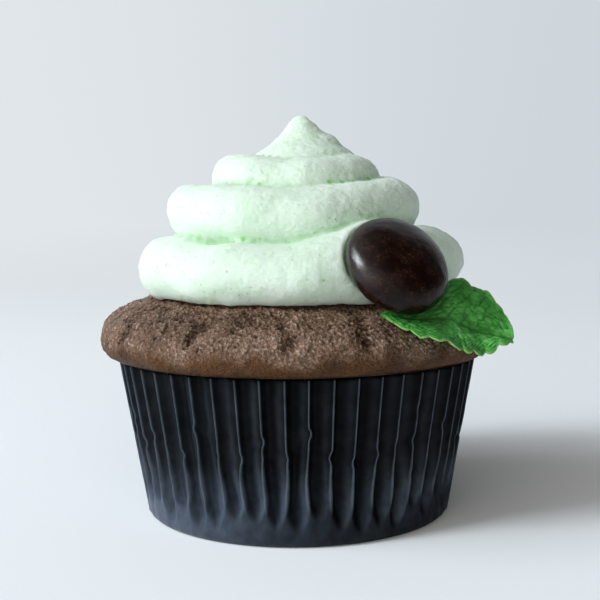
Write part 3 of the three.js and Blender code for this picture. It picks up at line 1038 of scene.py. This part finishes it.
# %% [markdown]
# Mint is a strong, slightly bluish green, paler and yellower along the cut of the edge. It is painted deeper
# towards the stem, as the shade that the lentil and the frosting cast there, and along the veins, as shade in
# their grooves. Its skin shines softly, and light passes through the blade, which a little translucence mixed
# into the finish shows.
# %% Mint green
mint_green, shader, maker, place = new_finish("mint_leaf_green")
vein = painted(maker, "vein")
rim = painted(maker, "rim")
cloud = fog(place, 0.25, 3)
pores = fog(place, 5, 2, 0.6)
green = blend((0.066, 0.380, 0.052), (0.165, 0.680, 0.138), cloud.step(0.35, 0.65))
# painted shade towards the stem, where the lentil and the frosting shade the blade
green = blend(green, (0.030, 0.190, 0.022), painted(maker, "along").step(0.72, 0.3) * 0.6)
# painted shade in the grooves of the veins
green = blend(green, (0.018, 0.130, 0.014), vein.step(0.1, 0.9) * 0.6)
green = blend(green, (0.34, 0.62, 0.16), rim * 0.65)
wire_up(shader, Base_Color=green)
wire_up(shader, Roughness=0.40 + pores * 0.18)
wire_up(shader, Normal=bump(pores, 0.3, 0.05))
set_plain(shader, Specular_IOR_Level=0.3)
tree = mint_green.node_tree
glow = maker.node("BsdfTranslucent", {}, {"Color": (0.10, 0.34, 0.03)})
thin = maker.node("MixShader", {}, {0: 0.16, 1: Wire(tree, shader.outputs[0]), 2: glow})
tree.links.new(thin.socket, tree.nodes["Material Output"].inputs["Surface"])
dress(leaf, mint_green, "mint_leaf")

# %% [markdown]
# The stage is a pale sweep: a floor that turns up into a wall without an edge. It isn't part of the cupcake.
# Further back it slowly turns into a surface that glows by itself, a little darker towards the right, and
# that sets the tone of the backdrop.
# %% A pale sweep
pick()
bpy.ops.mesh.primitive_plane_add(size=4, location=(0, 0.2, 0))
sweep = take("pale_sweep")
bpy.ops.object.transform_apply(location=True, rotation=True, scale=True)
select_edges(sweep, lambda a, b: min(a.y, b.y) > 2)
bpy.ops.mesh.spin(steps=24, angle=math.radians(90), center=(0, 2.2, 0.9), axis=(1, 0, 0))
bpy.ops.mesh.extrude_region_move(TRANSFORM_OT_translate={"value": (0, 0, 3)})
bpy.ops.mesh.select_all(action="SELECT")
bpy.ops.mesh.normals_make_consistent(inside=False)
leave_edit()
bpy.ops.object.shade_smooth()
pale, shader, maker, place = new_finish("pale_sweep")
paper_tone = fog(place, 0.004, 1)
wire_up(shader, Base_Color=blend((0.88, 0.91, 0.935), (0.90, 0.93, 0.95), paper_tone))
set_plain(shader, Roughness=0.85, Specular_IOR_Level=0.1)
across = place.node("SeparateXYZ", {}, {0: place})
back = place.node("SeparateXYZ", {}, {0: place}, 1)
tone = blend((0.75, 0.79, 0.82), (0.62, 0.67, 0.71), across.step(-500, 500))
lit_wall = maker.node("Emission", {}, {"Color": tone, "Strength": 1.0})
far = back.step(60, 600)
joined = maker.node("MixShader", {}, {0: far, 1: Wire(pale.node_tree, shader.outputs[0]), 2: lit_wall})
pale.node_tree.links.new(joined.socket, pale.node_tree.nodes["Material Output"].inputs["Surface"])
sweep.data.materials.append(pale)
print("sweep reaches", [round(v, 2) for v in sweep.dimensions])

# %% [markdown]
# A soft window of two panes stands to the left, above and somewhat in front, cool as daylight. The smaller
# pane is further in front, and the lentil mirrors it. The room gives a weaker, warmer fill, most of it from
# the left and from low in front, as from pale furniture. The camera itself sees a plain grey room.
# %% Light
def add_light(name, place, size, power, color, target=(0, 0, 0.035)):
    pick()
    bpy.ops.object.light_add(type="AREA", location=place)
    light = take(name)
    light.data.shape = "RECTANGLE"
    light.data.size, light.data.size_y = size
    light.data.energy = power
    light.data.color = color
    light.rotation_euler = (Vector(target) - Vector(place)).to_track_quat("-Z", "Y").to_euler()
    return light


add_light("window", place=(-1.10, -0.28, 0.86), size=(0.8, 0.6), power=8.5, color=(0.84, 0.92, 1.0))
add_light("near_pane", place=(-1.00, -0.62, 0.80), size=(0.42, 0.38), power=10, color=(0.86, 0.93, 1.0))
world = bpy.data.worlds.new("room")
bpy.context.scene.world = world
world.use_nodes = True
room = Wire(world.node_tree)
toward = room.node("TexCoord")
side, behind, above = (toward.node("SeparateXYZ", {}, {0: toward}, i) for i in range(3))
leftward = (0 - side).step(-0.35, 0.7)
low_front = (0 - behind).step(-0.3, 0.8) * above.step(0.75, 0.3) * side.step(0.8, 0.2)
fill = 0.05 + leftward * 0.37 + low_front * 0.80
shown = room.node("LightPath")
backdrop = world.node_tree.nodes["Background"]
tint = blend((1.0, 0.97, 0.92), (0.66, 0.70, 0.74), shown)
world.node_tree.links.new(tint.socket, backdrop.inputs["Color"])
world.node_tree.links.new((fill * (1 - shown) + shown).socket, backdrop.inputs["Strength"])
bpy.context.scene.view_settings.view_transform = "Standard"

# %% [markdown]
# The camera stands where the photograph's stood: a little above the crown's height, looking slightly down,
# nineteen centimetres from the middle of the cupcake.
# %% Camera
CAMERA_PLACE = (0.0006, -0.1881, 0.0519)
LOOKS_DOWN, ROLL = 5.14, -0.56
LENS, SENSOR = 67.32, 36
pick()
bpy.ops.object.camera_add(location=CAMERA_PLACE)
camera = take("camera")
tilt = Matrix.Rotation(math.radians(90 - LOOKS_DOWN), 3, "X") @ Matrix.Rotation(math.radians(ROLL), 3, "Z")
camera.rotation_euler = tilt.to_euler()
camera.data.lens = LENS
camera.data.sensor_width = SENSOR
camera.data.clip_start = 0.01
bpy.context.scene.camera = camera
